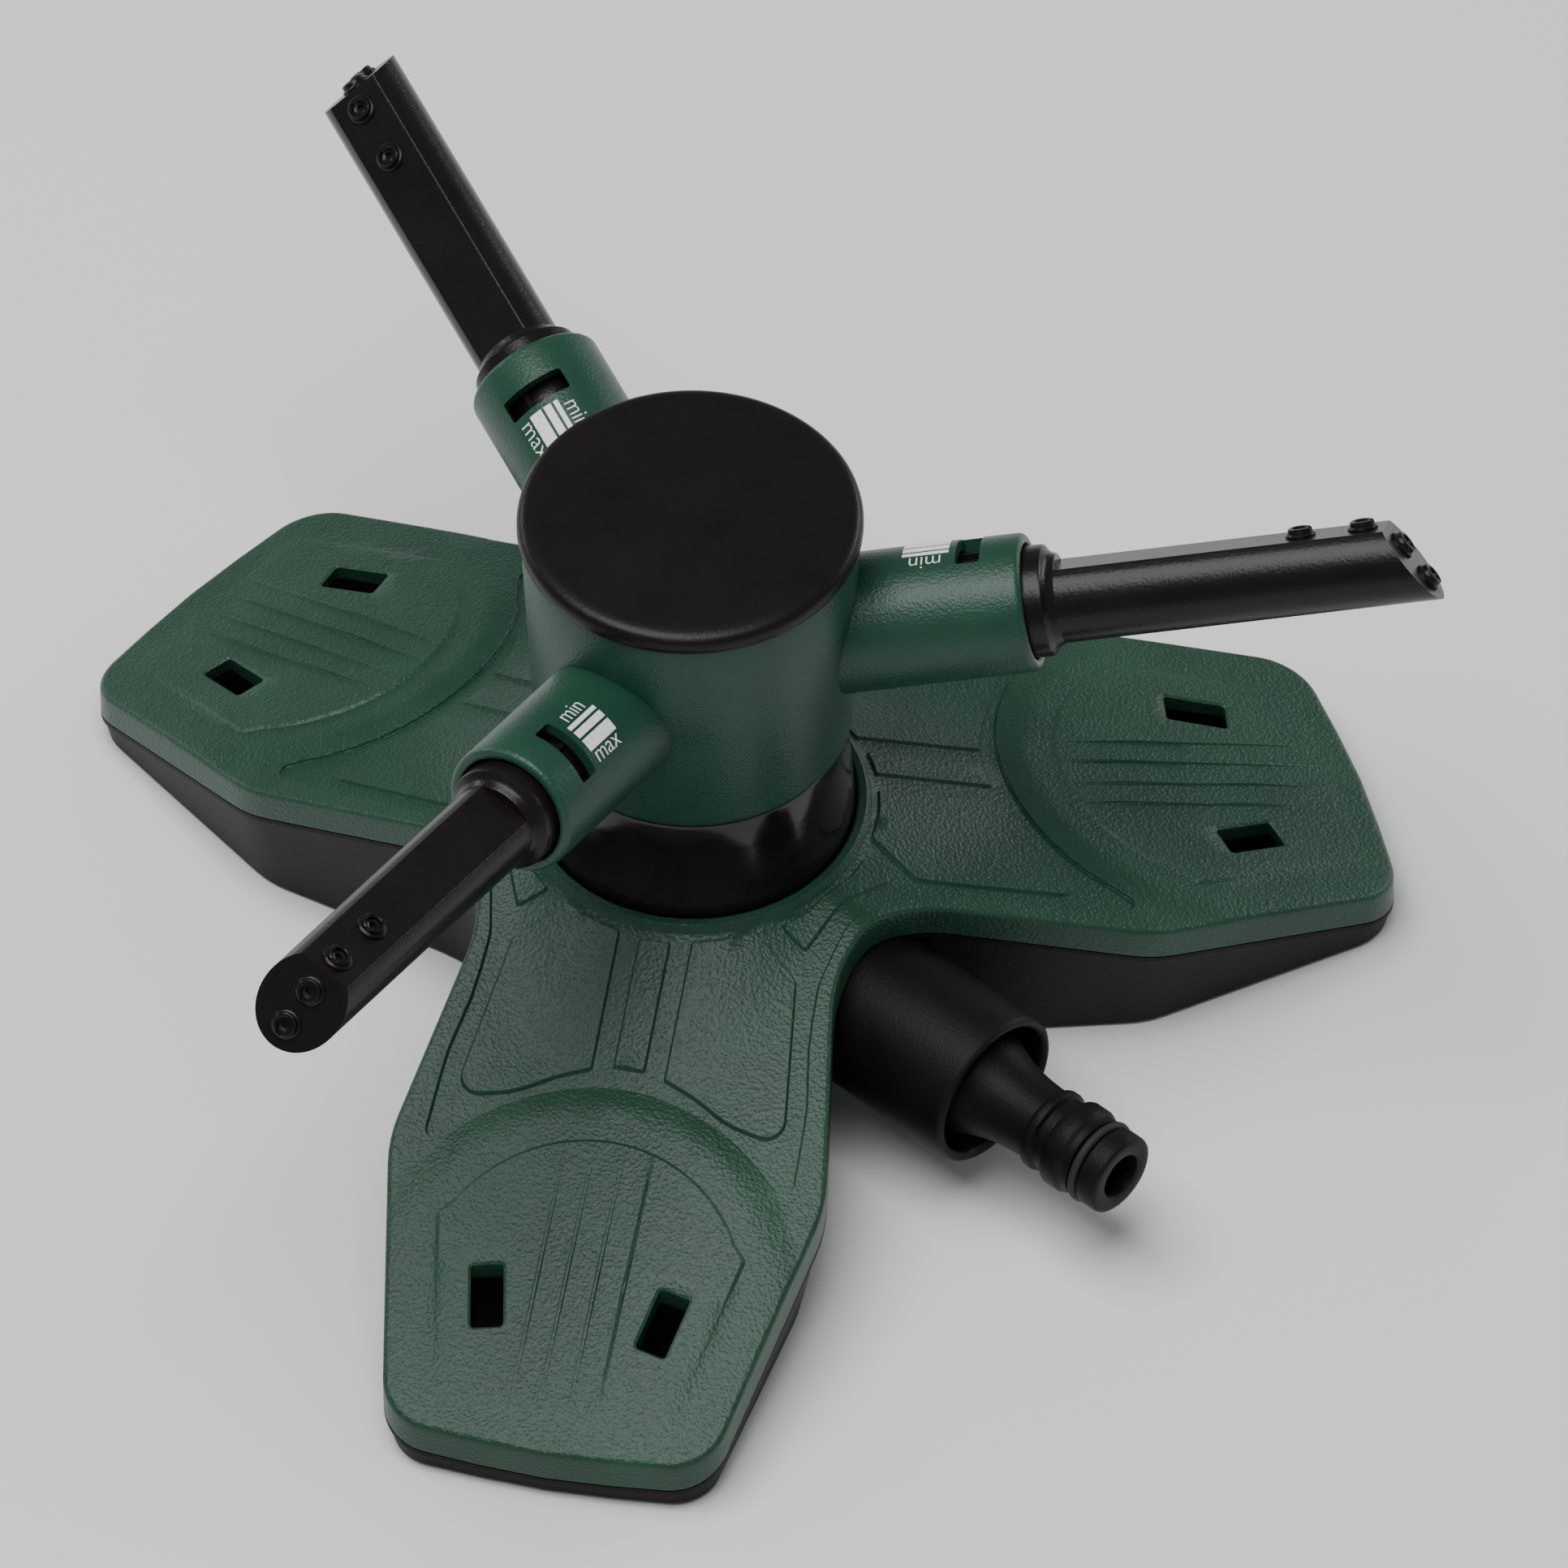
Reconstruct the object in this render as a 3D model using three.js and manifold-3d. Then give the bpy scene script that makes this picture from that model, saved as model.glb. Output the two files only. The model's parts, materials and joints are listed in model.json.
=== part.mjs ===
// A three-arm lawn sprinkler: a three-lobed base that stands on the grass, a hose inlet between two
// lobes, and a rotor with three sloping spray arms. Millimetres, +Z up. The origin is on the axis that
// the rotor turns on, at the flat underside of the base.
import * as THREE from 'three';
import { mergeVertices } from 'three/addons/utils/BufferGeometryUtils.js';
import Module from 'manifold-3d';

const wasm = await Module();
wasm.setup();

// ---------------------------------------------------------------- driving dimensions
const gap = 0.3;                    // between pieces that touch
const capRadius = 31;
const lobeAngles = [-90, 30, 150];  // directions of the three lobes, in degrees
const inletAngle = -30;             // the inlet lies between two lobes

const roofSlope = 0.34;             // the top of each lobe falls this much per millimetre outward
const roofApex = 54.5;              // height where the three sloping tops would meet
const roofReach = 150;              // how far out the roof solid goes along a lobe
const coverSkin = 2.5;
const coverBand = 6.5;              // height of the cover's side
const shellWall = 2.0;
const shellFloor = 2.5;
const shellDraft = 0.2;             // the shell's wall leans in this much per millimetre downward
const shellDepth = 42;

const lobeWide = { along: 73.7, across: 40.3 };   // where a lobe is widest
const lobeTip = { along: 124.6, across: 30.0 };   // corner of its outer end
const tipBow = 2.4;                                // the outer end bulges this much
const edgeTaper = 0.18;                            // the sides narrow toward the hub
const valleyRadius = 25;
const wideRadius = 24;
const tipRadius = 10.5;

const slotAlong = 100;              // centre of the peg slots
const slotAcross = 16.1;
const slotLength = 11.2;
const slotWidth = 5.9;
const slotTurn = 12;                // each slot follows the side of its lobe, in degrees
const sleeveWall = 2;

const neckTop = 72.4;
const neckTopRadius = 27.9;
const neckFootRadius = 28.9;
const lipHeight = 50.2;             // ring of the cover around the neck
const lipRadius = 31.2;
const hubTop = { radius: 33, height: 47.6 };   // a shallow cone falls from here outward
const hubReach = 60;                // where that cone meets the middle of each lobe
const flangeBottom = 33;            // underside of the flange that holds the neck down
const stemRadius = 10;
const feedHeight = 24.5;            // axis of the inlet

const rotorBottom = 73;
const rotorTop = 121.2;
const rotorBottomRadius = 28.7;
const rotorTopRadius = 30.4;
const rotorWall = 2.5;
const capBottom = rotorTop + gap;
const capTop = 125.2;

const armAngles = [10.5, 130.5, 250.5];   // directions of the arms at rest, in degrees
const armRise = 11.4;                      // the arms slope upward, in degrees
const armHeight = 91;                      // where their axes cross the rotor's axis
const socketRadius = 12.55;
const socketBore = 10.5;
const socketStart = 20;
const socketMouth = 62.3;
const windowAlong = 52.8;
const windowLength = 4.4;
const windowHalfAngle = 29;                // half of the arc that the window opens, in degrees
const scaleTurn = 27;                      // the windows face this far off the top
const armTwists = [36, 38, 18];            // where each arm's nozzles face at rest, off the top

const armRadius = 8.1;              // a round tube with a flat along its top
const armFlat = 6.2;                // height of the flat above the axis
const armWall = 2;
const flatEnd = 127.5;              // where the flat gives way to the slanted end
const armEnd = 136;                 // where the underside ends
const plateThickness = 2;           // of the plate let into the slanted end
const plateEdge = 1.3;              // wall of the tube left around the plate
const nozzleAlong = [112, 123.3];   // nozzles on the flat
const nozzleSlant = [0.27, 0.72];   // nozzles on the slanted end, as fractions of its length
const nozzleRadius = 2.7;
const nozzleHeight = 1.5;
const nozzleHole = 0.7;

const spigotRadius = 10.1;
const spigotStart = 19.5;
const spigotEnd = 66;
const spigotBore = 6.4;

const feedRadius = 8;
const feedBore = 5;
const collarRadius = 15;
const collarMouth = 72.9;
const nippleEnd = 103.5;
const nippleBore = 4.3;

const spindleRadius = 6;
const spindleBore = 4;
const spindleBottom = 40;
const spindleTop = 94;
const washerRadius = 10.8;
const washerThickness = 1.2;
const lowerWasherBottom = 72.7;
const bushingRadius = 8.2;
const bushingBottom = 74.4;
const bushingTop = 85.2;
const upperWasherBottom = 85.6;
const sealBottom = 87.1;
const nutBottom = 88.9;
const nutTop = 93.2;
const nutRadius = 8.7;              // to the corners of the hexagon

// ---------------------------------------------------------------- materials
const green = { color: 0x1d4a36, roughness: 0.55, metalness: 0 };
const black = { color: 0x1b1717, roughness: 0.42, metalness: 0 };
const gloss = { color: 0x171313, roughness: 0.22, metalness: 0 };
const rubber = { color: 0x151515, roughness: 0.8, metalness: 0 };
const acetal = { color: 0xe6e4dc, roughness: 0.45, metalness: 0 };
const brass = { color: 0xb08d45, roughness: 0.3, metalness: 1 };
const steel = { color: 0xb9bcc0, roughness: 0.3, metalness: 1 };

// ---------------------------------------------------------------- solids and nodes
const object = new THREE.Group();
const radians = THREE.MathUtils.degToRad;

function signedVolume(position, index) {
  const a = new THREE.Vector3();
  const b = new THREE.Vector3();
  const c = new THREE.Vector3();
  let sum = 0;
  for (let i = 0; i < index.length; i += 3) {
    a.fromArray(position, 3 * index[i]);
    b.fromArray(position, 3 * index[i + 1]);
    c.fromArray(position, 3 * index[i + 2]);
    sum += a.dot(b.cross(c)) / 6;
  }
  return sum;
}

// A closed three.js geometry as a solid that can be joined and cut.
function solid(geometry) {
  const bare = geometry.clone();
  bare.deleteAttribute('normal');
  bare.deleteAttribute('uv');
  const merged = mergeVertices(bare, 1e-4);
  const position = Float32Array.from(merged.attributes.position.array);
  const source = merged.index.array;
  const index = [];
  for (let i = 0; i < source.length; i += 3) {
    const [p, q, r] = [source[i], source[i + 1], source[i + 2]];
    if (p !== q && q !== r && r !== p) index.push(p, q, r);
  }
  if (signedVolume(position, index) < 0) index.reverse();
  const triVerts = Uint32Array.from(index);
  return new wasm.Manifold(new wasm.Mesh({ numProp: 3, vertProperties: position, triVerts }));
}

function geometryOf(body) {
  const mesh = body.getMesh();
  const geometry = new THREE.BufferGeometry();
  geometry.setAttribute('position', new THREE.BufferAttribute(new Float32Array(mesh.vertProperties), 3));
  geometry.setIndex(new THREE.BufferAttribute(new Uint32Array(mesh.triVerts), 1));
  geometry.computeVertexNormals();
  return geometry;
}

function addNode(name, body, finish, parent = object) {
  const mesh = new THREE.Mesh(geometryOf(body), new THREE.MeshStandardMaterial(finish));
  mesh.name = name;
  parent.add(mesh);
  return mesh;
}

// A body of revolution about Z from [radius, height] pairs.
function turned(profile, segments = 24) {
  const points = profile.map(([radius, height]) => new THREE.Vector2(radius, height));
  const geometry = new THREE.LatheGeometry(points, segments);
  geometry.rotateX(Math.PI / 2);
  return solid(geometry);
}

function rod(radius, bottom, top, segments = 24) {
  return turned([[0, bottom], [radius, bottom], [radius, top], [0, top]], segments);
}

function ring(inner, outer, bottom, top, segments = 24) {
  const profile = [[inner, bottom], [outer, bottom], [outer, top], [inner, top], [inner, bottom]];
  return turned(profile, segments);
}

// An O-ring about Z: radius of its centre line, radius of its cord, height.
function oRing(radius, cord, height, segments = 14) {
  const profile = [];
  const steps = 6;
  for (let i = 0; i <= steps; i += 1) {
    const angle = (2 * Math.PI * (i % steps)) / steps;
    profile.push([radius + cord * Math.cos(angle), height + cord * Math.sin(angle)]);
  }
  return turned(profile, segments);
}

function box(sizeX, sizeY, sizeZ, x, y, z) {
  const geometry = new THREE.BoxGeometry(sizeX, sizeY, sizeZ);
  geometry.translate(x, y, z);
  return solid(geometry);
}

function prism(shape, bottom, top) {
  const geometry = new THREE.ExtrudeGeometry(shape, { depth: top - bottom, bevelEnabled: false });
  geometry.translate(0, 0, bottom);
  return solid(geometry);
}

function moved(body, matrix) {
  return body.transform(matrix.toArray());
}

function turnedBy(body, degrees) {
  return moved(body, new THREE.Matrix4().makeRotationZ(radians(degrees)));
}

function joined(bodies) {
  return bodies.reduce((sum, body) => sum.add(body));
}

// ---------------------------------------------------------------- outline of the base
// A closed outline from corners { x, y, radius }, each rounded by a tangent arc of a few steps.
function roundedOutline(corners, stepAngle = 18) {
  const points = [];
  corners.forEach((corner, i) => {
    const before = corners[(i + corners.length - 1) % corners.length];
    const after = corners[(i + 1) % corners.length];
    const here = new THREE.Vector2(corner.x, corner.y);
    const inward = new THREE.Vector2(before.x, before.y).sub(here).normalize();
    const outward = new THREE.Vector2(after.x, after.y).sub(here).normalize();
    const half = Math.acos(THREE.MathUtils.clamp(inward.dot(outward), -1, 1)) / 2;
    const middle = inward.clone().add(outward).normalize();
    const centre = middle.multiplyScalar(corner.radius / Math.sin(half)).add(here);
    const reach = corner.radius / Math.tan(half);
    const start = inward.multiplyScalar(reach).add(here).sub(centre);
    const end = outward.multiplyScalar(reach).add(here).sub(centre);
    const sweep = Math.atan2(start.cross(end), start.dot(end));
    const steps = Math.max(2, 2 * Math.ceil(Math.abs(sweep) / radians(stepAngle) / 2));
    for (let k = 0; k <= steps; k += 1) {
      points.push(start.clone().rotateAround(new THREE.Vector2(), (sweep * k) / steps).add(centre));
    }
  });
  return new THREE.Shape(points);
}

function baseOutline() {
  const valleyAlong = (lobeWide.across - edgeTaper * lobeWide.along) / (Math.sqrt(3) - edgeTaper);
  const corners = [];
  for (const angle of lobeAngles) {
    const lobe = [
      { x: lobeWide.along, y: -lobeWide.across, radius: wideRadius },
      { x: lobeTip.along, y: -lobeTip.across, radius: tipRadius },
      { x: lobeTip.along + tipBow, y: 0, radius: 5 * lobeTip.across },
      { x: lobeTip.along, y: lobeTip.across, radius: tipRadius },
      { x: lobeWide.along, y: lobeWide.across, radius: wideRadius },
      { x: valleyAlong, y: valleyAlong * Math.sqrt(3), radius: valleyRadius },
    ];
    for (const { x, y, radius } of lobe) {
      const place = new THREE.Vector2(x, y).rotateAround(new THREE.Vector2(), radians(angle));
      corners.push({ x: place.x, y: place.y, radius });
    }
  }
  return roundedOutline(corners);
}

const outline = baseOutline();

// The three sloping planes as a low pyramid whose apex is lowered by the given amount.
function roof(lowered) {
  const height = roofSlope * roofReach;
  const geometry = new THREE.ConeGeometry(2 * roofReach, height, 3);
  geometry.rotateX(Math.PI / 2);
  geometry.rotateZ(Math.PI / 3);
  geometry.translate(0, 0, roofApex - lowered - height / 2);
  return solid(geometry);
}

function roofDrop(x, y) {
  const along = lobeAngles.map((angle) => x * Math.cos(radians(angle)) + y * Math.sin(radians(angle)));
  return -roofSlope * Math.max(...along);
}

function straightPrism(inset) {
  const settings = { depth: 80, bevelThickness: 1, bevelSize: 0, bevelOffset: -inset, bevelSegments: 1 };
  const geometry = new THREE.ExtrudeGeometry(outline, settings);
  return solid(geometry);
}

// The base's outline with leaning walls whose top edge follows the roof.
function leaningPrism(inset) {
  const lean = shellDraft * shellDepth;
  const above = 12;
  const settings = {
    depth: above,
    bevelThickness: shellDepth,
    bevelSize: lean,
    bevelOffset: -lean - inset,
    bevelSegments: 1,
  };
  const geometry = new THREE.ExtrudeGeometry(outline, settings);
  const position = geometry.attributes.position;
  for (let i = 0; i < position.count; i += 1) {
    const drop = roofDrop(position.getX(i), position.getY(i));
    position.setZ(i, position.getZ(i) + roofApex - coverBand + drop);
  }
  return solid(geometry);
}

// Runs a function for each peg slot with the place of its centre and its turn.
function forEachSlot(make) {
  return lobeAngles.flatMap((angle) => [-1, 1].map((side) => {
    const place = new THREE.Matrix4().makeRotationZ(radians(angle));
    place.multiply(new THREE.Matrix4().makeTranslation(slotAlong, side * slotAcross, 0));
    place.multiply(new THREE.Matrix4().makeRotationZ(radians(-side * slotTurn)));
    return moved(make(), place);
  }));
}

const wide = 400;                   // larger than the whole object
const slotHoles = forEachSlot(() => box(slotLength, slotWidth, wide, 0, 0, 0));
const aboveGround = box(wide, wide, wide, 0, 0, wide / 2);

// ---------------------------------------------------------------- screws
const screwAlong = 52;
const screwAcross = 24;
const turretScrewReach = 22.5;
const screwLength = 27;
const screwCross = { length: 3.6, width: 0.9, depth: 1.2 };
const headRadius = 3;
const headHeight = 2.2;
const shankRadius = 1.6;
const baseSeat = 3.5;               // height of the underside of a base screw's head
const turretSeat = 14;
const postTop = 20;                 // where a post of the shell meets a post of the cover

function onLobe(angle, along, across) {
  return new THREE.Vector2(along, across).rotateAround(new THREE.Vector2(), radians(angle));
}

const screwPlaces = lobeAngles.flatMap((angle) => {
  return [-screwAcross, screwAcross].map((across) => onLobe(angle, screwAlong, across));
});
const turretScrewPlaces = lobeAngles.map((angle) => onLobe(angle, turretScrewReach, 0));

function at(body, place, height = 0) {
  return moved(body, new THREE.Matrix4().makeTranslation(place.x, place.y, height));
}

function screw() {
  const head = rod(headRadius, -headHeight, 0, 12);
  const shank = rod(shankRadius, -0.5, screwLength, 8);
  const { length, width, depth } = screwCross;
  const across = box(length, width, 2 * depth, 0, 0, -headHeight);
  const upright = box(width, length, 2 * depth, 0, 0, -headHeight);
  return head.add(shank).subtract(across).subtract(upright);
}

// The hole that a screw runs in: a recess for its head, then a clear way for its shank.
function screwHole(seat) {
  return rod(headRadius + gap, -20, gap, 12)
    .add(rod(shankRadius + gap, 0, screwLength + 1, 8))
    .transform(new THREE.Matrix4().makeTranslation(0, 0, seat).toArray());
}

// ---------------------------------------------------------------- base cover
// The three sloping tops with a shallow cone between them that rises to the ring around the neck.
function coverTop(lowered) {
  const foot = roofApex - roofSlope * hubReach;
  const hub = turned([
    [0, foot - 4], [hubReach, foot - 4], [hubReach, foot], [hubTop.radius, hubTop.height],
    [lipRadius + 0.4, lipHeight - 0.8], [lipRadius, lipHeight], [0, lipHeight],
  ], 32);
  return roof(lowered).add(moved(hub, new THREE.Matrix4().makeTranslation(0, 0, -lowered)));
}

function makeCover() {
  const postRadius = 4;
  const hollow = straightPrism(coverSkin).intersect(coverTop(coverSkin));
  const posts = screwPlaces.map((place) => at(rod(postRadius, postTop + gap, 60, 10), place));
  return straightPrism(0)
    .intersect(coverTop(0))
    .subtract(hollow)
    .subtract(roof(coverBand))
    .add(joined(posts).intersect(roof(1)))
    .subtract(joined(screwPlaces.map((place) => at(screwHole(baseSeat), place))))
    .subtract(rod(neckFootRadius + gap, 0, 80, 32))
    .subtract(joined(slotHoles));
}

// ---------------------------------------------------------------- base shell
// Anything made about Z, laid along the inlet's axis with Z pointing outward.
function alongInlet(body) {
  const place = new THREE.Matrix4().makeRotationZ(radians(inletAngle));
  place.multiply(new THREE.Matrix4().makeTranslation(0, 0, feedHeight));
  place.multiply(new THREE.Matrix4().makeRotationY(Math.PI / 2));
  return moved(body, place);
}

function makeShell() {
  const aboveFloor = box(wide, wide, wide, 0, 0, shellFloor + wide / 2);
  const walls = leaningPrism(0).intersect(aboveGround).intersect(roof(coverBand + gap));
  const tray = walls.subtract(leaningPrism(shellWall).intersect(aboveFloor));
  const sleeveLength = slotLength + 2 * sleeveWall;
  const sleeveWidth = slotWidth + 2 * sleeveWall;
  const postRadius = 4.6;
  const turretPostRadius = 5;
  const sleeves = joined(forEachSlot(() => box(sleeveLength, sleeveWidth, 60, 0, 0, 31)));
  const basePosts = joined(screwPlaces.map((place) => at(rod(postRadius, 1, postTop, 12), place)));
  const turretPosts = turretScrewPlaces.map((place) => {
    return at(rod(turretPostRadius, 1, flangeBottom - gap, 12), place);
  });
  return tray.add(sleeves.intersect(roof(coverSkin + gap)))
    .add(basePosts)
    .add(joined(turretPosts))
    .subtract(joined(slotHoles))
    .subtract(joined(screwPlaces.map((place) => at(screwHole(baseSeat), place))))
    .subtract(joined(turretScrewPlaces.map((place) => at(screwHole(turretSeat), place))))
    .subtract(alongInlet(rod(collarRadius + gap, 20, 90, 28)));
}

// ---------------------------------------------------------------- turret and spindle
function makeTurret() {
  const skin = 2.5;
  const bell = turned([
    [0, 14], [stemRadius, 14], [stemRadius, neckTop - skin], [neckTopRadius - skin, neckTop - skin],
    [neckTopRadius - skin, flangeBottom + 3], [19, flangeBottom + 3], [19, flangeBottom],
    [33, flangeBottom], [33, flangeBottom + 2.5], [neckFootRadius, flangeBottom + 3],
    [neckFootRadius, lipHeight], [neckTopRadius + 0.4, lipHeight + 6], [neckTopRadius, lipHeight + 13],
    [neckTopRadius, neckTop - 0.6], [neckTopRadius - 0.6, neckTop], [spindleRadius + gap, neckTop],
    [spindleRadius + gap, spindleBottom], [feedBore, spindleBottom], [feedBore, 18], [0, 18],
  ], 32);
  const bosses = joined(turretScrewPlaces.map((place) => at(rod(4.2, flangeBottom, 43, 10), place)));
  const port = alongInlet(rod(feedRadius + 3, 6, 17, 20));
  const portBore = alongInlet(rod(feedRadius + gap, 7, 18, 20).add(rod(feedBore, 0, 8, 20)));
  const holes = joined(turretScrewPlaces.map((place) => at(screwHole(turretSeat), place)));
  return bell.add(port).subtract(portBore).add(bosses).subtract(holes);
}

// ---------------------------------------------------------------- hose inlet
function makeInletHousing() {
  const rear = feedRadius + gap;
  return alongInlet(turned([
    [rear, 34], [11, 34], [11, 41], [collarRadius, 41], [collarRadius, collarMouth - 1],
    [collarRadius - 0.6, collarMouth], [collarRadius - 1.7, collarMouth], [12.9, collarMouth - 0.6],
    [12.9, 63], [9.6, 63], [9.6, 52], [feedBore + 1, 52], [feedBore + 1, 48], [rear, 48], [rear, 34],
  ], 32));
}

function makeNipple() {
  return alongInlet(turned([
    [9.3, 53.5], [9.3, 63.3], [12.4, 63.3], [12.4, 65], [11.4, 67.6], [9.6, 71.6], [8.1, 76],
    [7.3, 81], [7.1, 85.4], [7.9, 86], [7.9, 87.6], [7.1, 88.2], [7.1, 90.2], [8.5, 91.2],
    [8.5, 94.4], [7.8, 95.4], [7.8, 96.9], [6.3, 96.9], [6.3, 99.3], [7.8, 99.3],
    [7.8, nippleEnd - 0.8], [7.1, nippleEnd], [nippleBore, nippleEnd], [nippleBore, 73],
    [7, 68], [7, 53.5], [9.3, 53.5],
  ], 16));
}

function makeFeedPipe() {
  const groove = 6.5;
  return alongInlet(turned([
    [feedBore, 7.3], [feedRadius, 7.3], [feedRadius, 10], [groove, 10], [groove, 12],
    [feedRadius, 12], [feedRadius, 40], [groove, 40], [groove, 42], [feedRadius, 42],
    [feedRadius, 47.7], [feedBore, 47.7], [feedBore, 7.3],
  ], 20));
}

function makeFilter() {
  return alongInlet(turned([
    [0, 65], [1, 65], [5.7, 54], [6.7, 54], [6.7, 55.2], [1.6, 66], [0, 66],
  ], 16));
}

// ---------------------------------------------------------------- rotor
// Anything drawn with the arm along X, its across along Y and its top along Z, turned to its place.
function armPlace(angle) {
  const place = new THREE.Matrix4().makeRotationZ(radians(angle));
  place.multiply(new THREE.Matrix4().makeTranslation(0, 0, armHeight));
  return place.multiply(new THREE.Matrix4().makeRotationY(radians(-armRise)));
}

const outward = new THREE.Matrix4().makeRotationY(Math.PI / 2);

function makeRotorBody() {
  const drum = turned([
    [0, rotorBottom], [rotorBottomRadius - 0.7, rotorBottom], [rotorBottomRadius, rotorBottom + 0.7],
    [rotorTopRadius, rotorTop], [0, rotorTop],
  ], 32);
  const hubTopInside = bushingTop - 0.2;
  const hubRadius = 11.5;
  const floorTop = rotorBottom + 3.5;
  const chamber = turned([
    [0, hubTopInside], [hubRadius, hubTopInside], [hubRadius, floorTop],
    [rotorBottomRadius - rotorWall, floorTop],
    [rotorTopRadius - rotorWall, rotorTop + 1], [0, rotorTop + 1],
  ], 32);
  const socket = moved(turned([
    [0, socketStart], [socketRadius, socketStart], [socketRadius, socketMouth - 1.2],
    [socketRadius - 0.9, socketMouth], [0, socketMouth],
  ], 22), outward);
  const bore = moved(rod(socketBore, socketStart, socketMouth + 1, 22), outward);
  const windowWidth = 2 * socketRadius * Math.sin(radians(windowHalfAngle));
  const aboveBore = box(windowLength, windowWidth, 9, windowAlong, 0, socketBore);
  const opening = moved(aboveBore, new THREE.Matrix4().makeRotationX(radians(-scaleTurn)));
  const places = armAngles.map(armPlace);
  return joined([drum, ...places.map((place) => moved(socket, place))])
    .subtract(chamber)
    .subtract(joined(places.map((place) => moved(bore.add(opening), place))))
    .subtract(rod(bushingRadius + gap, rotorBottom - 1, hubTopInside + 1, 20))
    .subtract(rod(washerRadius + gap, rotorBottom - 1, bushingBottom - 0.2, 20));
}

function makeCap() {
  return turned([
    [0, 117.5], [rotorTopRadius - rotorWall - 2.4, 117.5], [rotorTopRadius - rotorWall - 0.6, 117.5],
    [rotorTopRadius - rotorWall - 0.6, capBottom], [capRadius, capBottom], [capRadius, capTop - 2.2],
    [capRadius - 0.8, capTop - 0.8], [capRadius - 2.8, capTop - 0.1], [0, capTop],
  ], 32);
}

// ---------------------------------------------------------------- spray arm, in its own frame
const slantRise = armFlat + armRadius;
const slantRun = armEnd - flatEnd;
const slantAngle = Math.atan2(slantRise, slantRun);

// The arm's side view as a shape, thinned by the given amount on the top and the slanted end.
function armSide(start, thinned, below) {
  const top = armFlat - thinned;
  const shift = thinned / Math.sin(slantAngle) - thinned / Math.tan(slantAngle);
  const run = (top + below) / Math.tan(slantAngle);
  const shape = new THREE.Shape();
  shape.moveTo(start, -below);
  shape.lineTo(flatEnd - shift + run, -below);
  shape.lineTo(flatEnd - shift, top);
  shape.lineTo(start, top);
  shape.closePath();
  return shape;
}

function extrudedAcross(shape) {
  const geometry = new THREE.ExtrudeGeometry(shape, { depth: 40, bevelEnabled: false });
  geometry.translate(0, 0, -20);
  geometry.rotateX(Math.PI / 2);
  return solid(geometry);
}

function nozzlePlaces() {
  const flat = nozzleAlong.map((along) => new THREE.Matrix4().makeTranslation(along, 0, armFlat));
  const slant = nozzleSlant.map((part) => {
    const [along, height] = [flatEnd + part * slantRun, armFlat - part * slantRise];
    const place = new THREE.Matrix4().makeTranslation(along, 0, height);
    return place.multiply(new THREE.Matrix4().makeRotationY(slantAngle));
  });
  return { flat, slant };
}

function boss() {
  return ring(1.4, nozzleRadius, -0.8, nozzleHeight, 8).add(rod(2, -0.8, 0.5, 8));
}

// A length of the arm's own section, thinned all round.
function armSection(thinned, from, to, sides) {
  return moved(rod(armRadius - thinned, from, to, sides), outward)
    .intersect(extrudedAcross(armSide(0, thinned, 30)));
}

// Everything beyond the slanted end once it is set back by the given amount.
function slantCut(setBack) {
  const body = box(60, 60, 80, 30 - setBack, 0, 0);
  const place = new THREE.Matrix4().makeTranslation(flatEnd + slantRun / 2, 0, armFlat - slantRise / 2);
  place.multiply(new THREE.Matrix4().makeRotationY(slantAngle - Math.PI / 2));
  return moved(body, place);
}

function levelSection(thinned, from, to, sides) {
  const below = box(200, 60, 60, 100, 0, armFlat - thinned - 30);
  return moved(rod(armRadius - thinned, from, to, sides), outward).intersect(below);
}

function makeArmTube() {
  const { flat } = nozzlePlaces();
  const spigot = moved(turned([
    [0, spigotStart], [spigotRadius - 0.6, spigotStart], [spigotRadius, spigotStart + 0.6],
    [spigotRadius, 21.2], [8.4, 21.2], [8.4, 23], [spigotRadius, 23], [spigotRadius, 33], [8.3, 33],
    [8.3, 35.4], [spigotRadius, 35.4], [spigotRadius, 50.5], [9, 50.5], [9, 59.5],
    [spigotRadius, 59.5], [spigotRadius, spigotEnd - 1.2], [armRadius, spigotEnd + 1.2],
    [0, spigotEnd + 1.2],
  ], 20), outward);
  const pointer = box(5, 1, 2, windowAlong, 0, spigotRadius - 1.3);
  const recess = levelSection(plateEdge - gap, 90, armEnd + 6, 16).intersect(slantCut(plateThickness));
  const holes = flat.map((place) => moved(rod(nozzleHole, -5, 3, 6), place));
  const bosses = flat.map((place) => moved(boss(), place));
  return armSection(0, spigotEnd - 3, armEnd + 6, 20)
    .add(spigot)
    .add(pointer)
    .add(joined(bosses))
    .subtract(armSection(armWall, spigotStart - 2, armEnd + 6, 16))
    .subtract(recess)
    .subtract(joined(holes));
}

function makeEndPlate() {
  const { slant } = nozzlePlaces();
  const plate = levelSection(plateEdge, 90, armEnd + 6, 16)
    .intersect(extrudedAcross(armSide(0, 0, 30)))
    .intersect(slantCut(plateThickness - gap));
  const bosses = slant.map((place) => moved(boss(), place));
  const holes = slant.map((place) => moved(rod(nozzleHole, -5, 3, 6), place));
  return plate.add(joined(bosses)).subtract(joined(holes));
}

function makeClip() {
  const clip = ring(8.7, 11.4, 21.5, 22.7, 20);
  return moved(clip.subtract(box(8, 5, 10, 10, 0, 22)), outward);
}

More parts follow.
